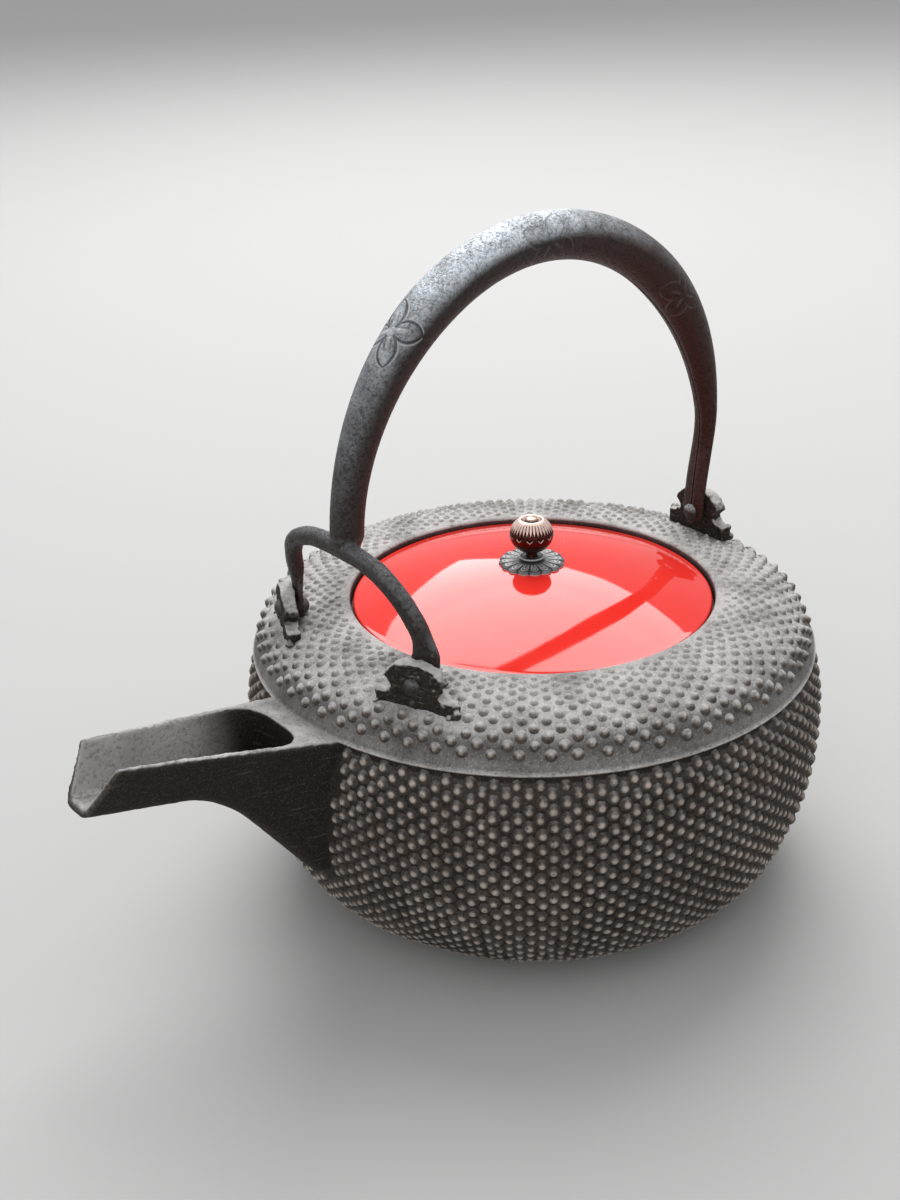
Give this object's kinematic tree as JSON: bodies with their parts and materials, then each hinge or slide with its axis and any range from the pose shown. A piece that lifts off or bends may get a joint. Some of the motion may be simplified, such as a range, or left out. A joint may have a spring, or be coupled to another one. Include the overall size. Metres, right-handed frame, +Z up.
{
  "type": "cast iron sake kettle",
  "caption": "Hailstone-cast iron sake kettle with an open trough spout, a lift-off lacquered lid with a chrysanthemum knob, and a riveted three-legged bail handle.",
  "frame": {"origin": "centre of the flat base, on the surface that the kettle stands on", "axes": "+Z up, the spout points along -X, the handle lies in the XZ plane"},
  "size_m": [0.2282, 0.1638, 0.1921],
  "materials": {
    "cast_iron_body": "dark grey-brown sand-cast iron, matt, lighter on the bump tips",
    "forged_iron": "dark brown-black forged iron with a dull sheen",
    "red_lacquer": "high gloss vermilion lacquer",
    "grey_bronze": "grey patinated, engraved",
    "dark_bronze": "dark copper-brown patina, polished high spots"
  },
  "bodies": {
    "kettle": {"kettle_body": "cast_iron_body", "front_left_lug": "cast_iron_body", "front_right_lug": "cast_iron_body", "rear_lug": "cast_iron_body", "front_left_rivet": "forged_iron", "front_right_rivet": "forged_iron", "rear_rivet": "forged_iron", "handle_tube": "forged_iron", "front_fork": "forged_iron"},
    "lid": {"lid_disc": "red_lacquer", "flower_washer": "grey_bronze", "knob_collar": "dark_bronze", "knob": "dark_bronze", "knob_shank": "dark_bronze", "back_washer": "grey_bronze"}
  },
  "joints": [
    {"name": "lid_lift", "type": "slide", "parent": "kettle", "child": "lid", "axis": [0, 0, 1], "range_m": [0, 0.045]}
  ]
}
